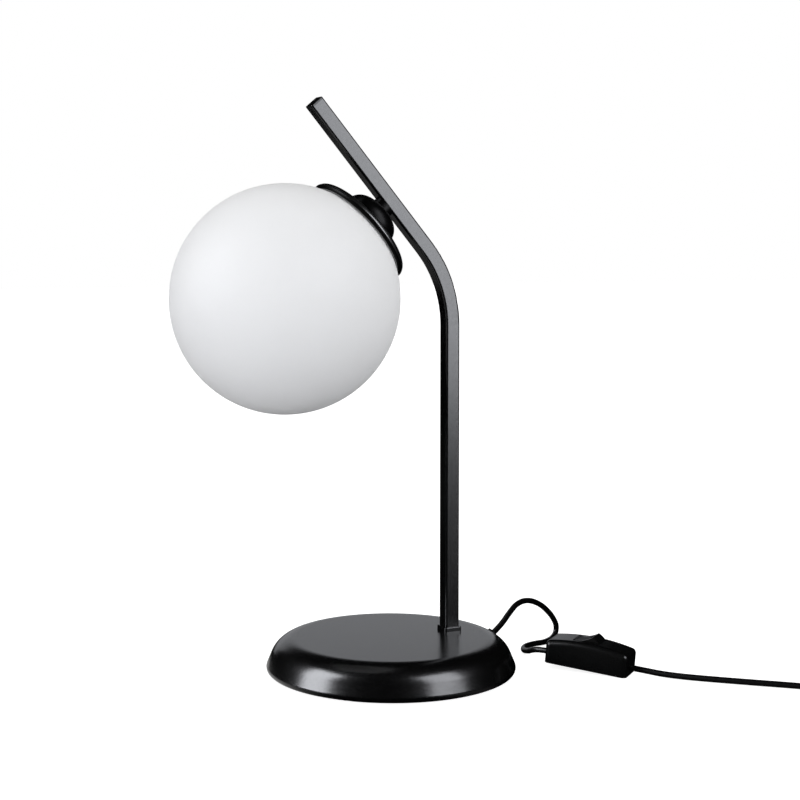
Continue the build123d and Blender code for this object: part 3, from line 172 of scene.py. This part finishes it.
STEPS = int(POINTS_PER_TURN * TURNS_PER_LAYER * COIL_LAYERS)
start_turn = radians(START_ANGLE)
heading = Vector((-sin(start_turn), cos(start_turn), 0))
aside = Vector((-heading.y, heading.x, 0))
spoke = Vector((cos(start_turn), sin(start_turn), 0)) * COIL_OUTER
coil_in = Vector((COIL_CENTRE[0], COIL_CENTRE[1], TABLE)) + spoke
coil_out = coil_in + Vector((0, 0, LAYER_PITCH * (COIL_LAYERS - 1)))
PLUG_REACH = 62.0            # from the coil, along the cord
PLUG_ASIDE = 16.0
PLUG_TURN = 0.55             # sideways share of the plug's heading
PLUG_MIDDLE = 6.85           # height of its cord entry
plug_neck = coil_out + heading * PLUG_REACH + aside * PLUG_ASIDE
plug_neck.z = PLUG_MIDDLE
plug_heading = (heading + aside * PLUG_TURN).normalized()

lead = flex(
    "flex_switch_to_plug",
    millimetres(
        [
            SWITCH_EXIT,
            SWITCH_EXIT + SWITCH_ALONG * STRAIGHT,
            (157.0, -98.5, TABLE),
            (184.0, -124.5, TABLE),
            coil_in - heading * 30,
            coil_in - heading * 2.5,
        ]
        + [coil_point(step) for step in range(1, STEPS)]
        + [
            coil_out + heading * 2.5,
            coil_out + heading * 14,
            coil_out + heading * 31 + aside * 2.0 + Vector((0, 0, -3.0)),
            plug_neck - plug_heading * 14,
            plug_neck,
        ]
    ),
    CORD / 2,
)

for piece in (arch, lead):
    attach(piece, "lamp")

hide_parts("cord_base_to_switch")
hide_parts("cord_switch_to_coil", "cord_coil", "cord_plug_tail")


# ---------------------------------------------------------------- materials
def material(name):
    """Start a node material; return it with its tree and its main shader."""
    made = bpy.data.materials.new(name)
    made.use_nodes = True
    tree = made.node_tree
    return made, tree, tree.nodes["Principled BSDF"]


def grain(tree, scale, detail=3.0, roughness=0.5):
    """Noise in the object's own metres."""
    place = tree.nodes.new("ShaderNodeTexCoord")
    noise = tree.nodes.new("ShaderNodeTexNoise")
    noise.inputs["Scale"].default_value = scale
    noise.inputs["Detail"].default_value = detail
    noise.inputs["Roughness"].default_value = roughness
    tree.links.new(place.outputs["Object"], noise.inputs["Vector"])
    return noise


def vary(tree, source, low, high, target):
    """Spread a noise between two values of one of the shader's inputs."""
    spread = tree.nodes.new("ShaderNodeMapRange")
    spread.inputs["From Min"].default_value = 0.3
    spread.inputs["From Max"].default_value = 0.7
    spread.inputs["To Min"].default_value = low
    spread.inputs["To Max"].default_value = high
    tree.links.new(source.outputs["Fac"], spread.inputs["Value"])
    tree.links.new(spread.outputs["Result"], target)


def tint(tree, source, dark, light, target):
    """Spread a noise between two colours."""
    ramp = tree.nodes.new("ShaderNodeValToRGB")
    ramp.color_ramp.elements[0].position = 0.3
    ramp.color_ramp.elements[1].position = 0.7
    ramp.color_ramp.elements[0].color = (*dark, 1)
    ramp.color_ramp.elements[1].color = (*light, 1)
    tree.links.new(source.outputs["Fac"], ramp.inputs["Fac"])
    tree.links.new(ramp.outputs["Color"], target)


def relief(tree, shader, sources):
    """Chain bumps: each source is a noise and the height of its relief in metres."""
    before = None
    for noise, height in sources:
        bump = tree.nodes.new("ShaderNodeBump")
        bump.inputs["Strength"].default_value = 1.0
        bump.inputs["Distance"].default_value = height
        tree.links.new(noise.outputs["Fac"], bump.inputs["Height"])
        if before:
            tree.links.new(before.outputs["Normal"], bump.inputs["Normal"])
        before = bump
    tree.links.new(before.outputs["Normal"], shader.inputs["Normal"])


def plain(name, dark, light, rough, metallic=0.0, scale=400, height=0.00001, gloss=0.5):
    """A material with a little variation in colour, gloss and relief."""
    made, tree, shader = material(name)
    fine = grain(tree, scale)
    tint(tree, fine, dark, light, shader.inputs["Base Color"])
    vary(tree, fine, rough[0], rough[1], shader.inputs["Roughness"])
    shader.inputs["Metallic"].default_value = metallic
    shader.inputs["Specular IOR Level"].default_value = gloss
    relief(tree, shader, [(fine, height)])
    return made


def powder_coat(name, rough, gloss):
    """Black coat with the pebbled skin of sprayed powder."""
    made, tree, shader = material(name)
    peel = grain(tree, 850, 2.0, 0.45)
    swell = grain(tree, 240, 1.0, 0.4)
    tint(tree, swell, (0.0009, 0.0009, 0.001), (0.0014, 0.0014, 0.0015), shader.inputs["Base Color"])
    vary(tree, peel, rough[0], rough[1], shader.inputs["Roughness"])
    shader.inputs["Specular IOR Level"].default_value = gloss
    relief(tree, shader, [(swell, 0.00002), (peel, 0.000016)])
    return made


def opal():
    """Milk glass with an etched satin skin."""
    made, tree, shader = material("opal_glass")
    cloud = grain(tree, 22, 2.0, 0.5)
    tint(tree, cloud, (0.925, 0.93, 0.937), (0.945, 0.95, 0.955), shader.inputs["Base Color"])
    skin = grain(tree, 900, 2.0, 0.5)
    vary(tree, skin, 0.52, 0.6, shader.inputs["Roughness"])
    shader.inputs["Specular IOR Level"].default_value = 0.2
    shader.inputs["Subsurface Weight"].default_value = 0.8
    shader.inputs["Subsurface Radius"].default_value = (1.0, 1.0, 1.0)
    shader.inputs["Subsurface Scale"].default_value = 0.012
    shader.inputs["IOR"].default_value = 1.45
    relief(tree, shader, [(skin, 0.000004)])
    return made


ARM_LEAN = radians(40.5)     # the plate's axis, up from level
PLATE_START = 0.1699         # along that axis, in metres
PLATE_END = 0.1799
GLOSS_STOPS = ((0.03, 0.5), (0.06, 0.04), (0.22, 0.04), (0.3, 0.9), (0.48, 0.9), (0.55, 0.04))
# base colour along the plate's axis: a painted reflection, pale on the rim and fading to the coat's black
PAINTED_RIM_REFLECTION_STOPS = ((0.03, 0.16), (0.07, 0.0012))


def plate_coat():
    """Powder coat whose gloss changes along the plate's axis, from its rim to its band, and whose base
    colour carries a painted reflection, pale at the rim.
    """
    made = powder_coat("black_plate_coat", (0.28, 0.34), 0.5)
    tree = made.node_tree
    shader = tree.nodes["Principled BSDF"]
    place = tree.nodes.new("ShaderNodeTexCoord")
    along = tree.nodes.new("ShaderNodeVectorMath")
    along.operation = "DOT_PRODUCT"
    along.inputs[1].default_value = (cos(ARM_LEAN), 0, sin(ARM_LEAN))
    tree.links.new(place.outputs["Object"], along.inputs[0])
    level = tree.nodes.new("ShaderNodeMapRange")
    level.inputs["From Min"].default_value = PLATE_START
    level.inputs["From Max"].default_value = PLATE_END
    tree.links.new(along.outputs["Value"], level.inputs["Value"])
    # the base colour ramp paints a pale reflection onto the rim
    for stops, target in ((GLOSS_STOPS, "Specular IOR Level"), (PAINTED_RIM_REFLECTION_STOPS, "Base Color")):
        ramp = tree.nodes.new("ShaderNodeValToRGB")
        while len(ramp.color_ramp.elements) < len(stops):
            ramp.color_ramp.elements.new(0.5)
        for element, (spot, value) in zip(ramp.color_ramp.elements, stops):
            element.position = spot
            element.color = (value, value, value, 1)
        tree.links.new(level.outputs["Result"], ramp.inputs["Fac"])
        tree.links.new(ramp.outputs["Color"], shader.inputs[target])
    return made


JET = (0.001, 0.001, 0.001)
SOOT = (0.0018, 0.0018, 0.0018)
COAT = powder_coat("black_powder_coat", (0.2, 0.26), 0.5)
CUP_COAT = powder_coat("black_satin_coat", (0.3, 0.36), 0.07)
PLATE_COAT = plate_coat()
OPAL = opal()
BLACK = plain("black_satin_plastic", JET, SOOT, (0.27, 0.33), 0.0, 1500, 0.000003, gloss=0.3)
SHEATH = plain("black_flex_sheath", JET, SOOT, (0.34, 0.44), 0.0, 900, 0.000008)
IRON = plain("cast_iron", (0.05, 0.05, 0.05), (0.11, 0.105, 0.1), (0.6, 0.85), 0.6, 300, 0.0003)
STEEL = plain("zinc_plated_steel", (0.5, 0.5, 0.51), (0.62, 0.62, 0.63), (0.24, 0.4), 1.0, 700, 0.000008)
BRIGHT = plain("nickel_plate", (0.66, 0.65, 0.62), (0.74, 0.73, 0.7), (0.12, 0.22), 1.0, 600, 0.000004)
BRASS = plain("brass", (0.62, 0.44, 0.16), (0.72, 0.53, 0.22), (0.22, 0.36), 1.0, 700, 0.000006)
FOAM = plain("black_foam", (0.012, 0.012, 0.012), (0.03, 0.03, 0.03), (0.85, 0.98), 0.0, 2200, 0.00015)
WHITE = plain("white_plastic", (0.74, 0.73, 0.7), (0.8, 0.79, 0.76), (0.35, 0.48), 0.0, 600, 0.00001)
FROST = plain("frosted_bulb", (0.82, 0.81, 0.78), (0.87, 0.86, 0.84), (0.4, 0.5), 0.0, 500, 0.000005)
BROWN = plain("brown_insulation", (0.1, 0.045, 0.018), (0.14, 0.06, 0.025), (0.35, 0.5), 0.0, 600, 0.000006)
BLUE = plain("blue_insulation", (0.015, 0.06, 0.3), (0.02, 0.08, 0.38), (0.35, 0.5), 0.0, 600, 0.000006)

BY_SLOT = {
    "black_coat": COAT,
    "black_plastic": BLACK,
    "iron": IRON,
    "steel": STEEL,
    "foam": FOAM,
    "opal_glass": OPAL,
    "opal_plastic": FROST,
    "white_plastic": WHITE,
    "bright_metal": BRIGHT,
    "brass": BRASS,
    "cord": SHEATH,
    "brown_wire": BROWN,
    "blue_wire": BLUE,
}

for entry in frame["record"]["subparts"]:
    node = NODES[entry["node"]]
    skin = BY_SLOT[entry["material_slot"]]
    if entry["node"] == "fitter_plate":
        skin = PLATE_COAT
    if entry["node"] in ("holder_cup", "head_spacer"):
        skin = CUP_COAT
    for slot in node.material_slots:
        slot.material = skin

for piece in (arch, lead):
    piece.data.materials.append(SHEATH)


# ---------------------------------------------------------------- floor
def add_node(tree, kind, **settings):
    """Add a node with some of its settings."""
    node = tree.nodes.new(kind)
    for name, value in settings.items():
        setattr(node, name, value)
    return node


def by_ray(tree, seen, mirrored, lighting):
    """A strength that differs for rays that see it, mirror it or carry its light."""
    path = add_node(tree, "ShaderNodeLightPath")
    direct = add_node(tree, "ShaderNodeMath", operation="MAXIMUM")
    tree.links.new(path.outputs["Is Camera Ray"], direct.inputs[0])
    tree.links.new(path.outputs["Is Transmission Ray"], direct.inputs[1])
    gloss = add_node(tree, "ShaderNodeMix", data_type="FLOAT")
    gloss.inputs["A"].default_value = lighting
    tree.links.new(path.outputs["Is Glossy Ray"], gloss.inputs["Factor"])
    if isinstance(mirrored, float):
        gloss.inputs["B"].default_value = mirrored
    else:
        tree.links.new(mirrored, gloss.inputs["B"])
    shown = add_node(tree, "ShaderNodeMix", data_type="FLOAT")
    shown.inputs["B"].default_value = seen
    tree.links.new(direct.outputs["Value"], shown.inputs["Factor"])
    tree.links.new(gloss.outputs["Result"], shown.inputs["A"])
    return shown.outputs["Result"]


def pool(tree, spot, centre, reach, soft, strength, stretch=(1.0, 1.0), turn=0.0):
    """A soft patch of light that the floor shows only in reflections."""
    place = add_node(tree, "ShaderNodeMapping", vector_type="TEXTURE")
    place.inputs["Location"].default_value = (*centre, 0.0)
    place.inputs["Rotation"].default_value = (0.0, 0.0, turn)
    place.inputs["Scale"].default_value = (*stretch, 1.0)
    tree.links.new(spot.outputs["Object"], place.inputs["Vector"])
    away = add_node(tree, "ShaderNodeVectorMath", operation="LENGTH")
    tree.links.new(place.outputs["Vector"], away.inputs[0])
    edge = add_node(tree, "ShaderNodeMapRange", interpolation_type="SMOOTHSTEP")
    edge.inputs["From Min"].default_value = reach
    edge.inputs["From Max"].default_value = reach + soft
    edge.inputs["To Min"].default_value = strength
    edge.inputs["To Max"].default_value = 0.0
    tree.links.new(away.outputs["Value"], edge.inputs["Value"])
    return edge.outputs["Result"]


def together(tree, first, second):
    """Sum of two strengths."""
    total = add_node(tree, "ShaderNodeMath", operation="ADD")
    tree.links.new(first, total.inputs[0])
    tree.links.new(second, total.inputs[1])
    return total.outputs["Value"]


def pale_floor():
    """White studio floor: seen plain, mirrored as black with four pools of light."""
    made, tree, shader = material("pale_floor")
    shader.inputs["Roughness"].default_value = 1.0
    shader.inputs["Specular IOR Level"].default_value = 0.0
    shader.inputs["Emission Color"].default_value = (1, 1, 1, 1)
    spot = add_node(tree, "ShaderNodeTexCoord")
    front = pool(tree, spot, (0.62, -1.2), 0.5, 0.3, 0.35, (1.6, 0.6), radians(-63))
    behind = pool(tree, spot, (-0.06, 0.7), 0.12, 0.12, 0.16)
    under_globe = pool(tree, spot, (-0.1, 0.03), 0.03, 0.06, 0.8)
    by_base = pool(tree, spot, (0.035, -0.115), 0.01, 0.04, 0.3)
    gleam = together(tree, together(tree, front, behind), together(tree, under_globe, by_base))
    tree.links.new(by_ray(tree, 0.55, 0.0, 0.42), shader.inputs["Base Color"])
    tree.links.new(by_ray(tree, 0.85, gleam, 0.0), shader.inputs["Emission Strength"])
    return made


REACH = 9.0
floor_mesh = bpy.data.meshes.new("floor")
floor_mesh.from_pydata(
    [(-REACH, -REACH, 0), (REACH, -REACH, 0), (REACH, REACH, 0), (-REACH, REACH, 0)],
    [],
    [(0, 1, 2, 3)],
)
floor_mesh.materials.append(pale_floor())
floor = bpy.data.objects.new("floor", floor_mesh)
bpy.context.collection.objects.link(floor)

# ---------------------------------------------------------------- world
world = bpy.data.worlds.new("studio")
bpy.context.scene.world = world
world.cycles.sampling_method = "NONE"
world.use_nodes = True
tree = world.node_tree
sky = tree.nodes["Background"]
sky.inputs["Color"].default_value = (1, 1, 1, 1)
tree.links.new(by_ray(tree, 1.0, 0.004, 0.88), sky.inputs["Strength"])


# ---------------------------------------------------------------- lamps
COOL_WHITE = (0.93, 0.95, 1.0)
BASE = (0, 0, 0)
LOW = (0, 0, 0.02)
STEM = (0, 0, 0.105)
GLOBE = (-0.1, 0, 0.3)
GLOBE_CENTRE = (-0.1, 0, 0.28)


def softbox(name, bearing, height, distance, size, radiance, aim, sheen):
    """A rectangular studio light aimed at the lamp; bearing 0 is behind it, along +Y.

    With sheen it shows only in gloss, and without it lights only matt surfaces.
    """
    turn, lift = radians(bearing), radians(height)
    toward = Vector((sin(turn) * cos(lift), cos(turn) * cos(lift), sin(lift)))
    data = bpy.data.lights.new(name, "AREA")
    data.shape = "RECTANGLE"
    data.size, data.size_y = size
    data.energy = radiance * pi * size[0] * size[1]
    data.color = COOL_WHITE
    lamp = bpy.data.objects.new(name, data)
    bpy.context.collection.objects.link(lamp)
    lamp.location = Vector(aim) + toward * distance
    lamp.rotation_euler = (-toward).to_track_quat("-Z", "Y").to_euler()
    lamp.visible_camera = False
    lamp.visible_diffuse = not sheen
    lamp.visible_glossy = sheen
    return lamp


def flag(lamp, pieces):
    """Keep a light to some pieces, as a flag beside it does in a studio."""
    lit = bpy.data.collections.new(lamp.name + "_lit")
    for piece in pieces:
        lit.objects.link(piece)
    lamp.light_linking.receiver_collection = lit


upright = [
    NODES[name]
    for name in ("stem_tube", "stem_cap", "stem_foot", "fitter_plate", "holder_cup", "head_spacer")
]
lying = [
    piece for piece in bpy.context.scene.objects if piece.type == "MESH" and piece not in upright
]
softbox("left_strip", -80, 28, 1.4, (0.7, 0.94), 14.2, LOW, sheen=True)
tall_strip = softbox("tall_strip", 151, 24, 1.35, (0.78, 1.34), 8.3, STEM, sheen=True)
flag(tall_strip, upright)
right_strip = softbox("right_strip", 151, 34, 1.35, (0.78, 0.86), 8.9, STEM, sheen=True)
flag(right_strip, lying)
softbox("back_strip", 17, 12, 1.3, (1.1, 0.56), 0.63, BASE, sheen=True)
softbox("key", -150, 0, 1.6, (4.0, 0.9), 1.75, GLOBE, sheen=False)
softbox("left_fill", -112, -10, 1.2, (0.9, 0.4), 3.5, GLOBE_CENTRE, sheen=False)
softbox("right_fill", 115, 0, 1.3, (0.6, 0.6), 2.2, GLOBE_CENTRE, sheen=False)

bpy.context.scene.view_settings.view_transform = "Standard"
bpy.context.view_layer.update()
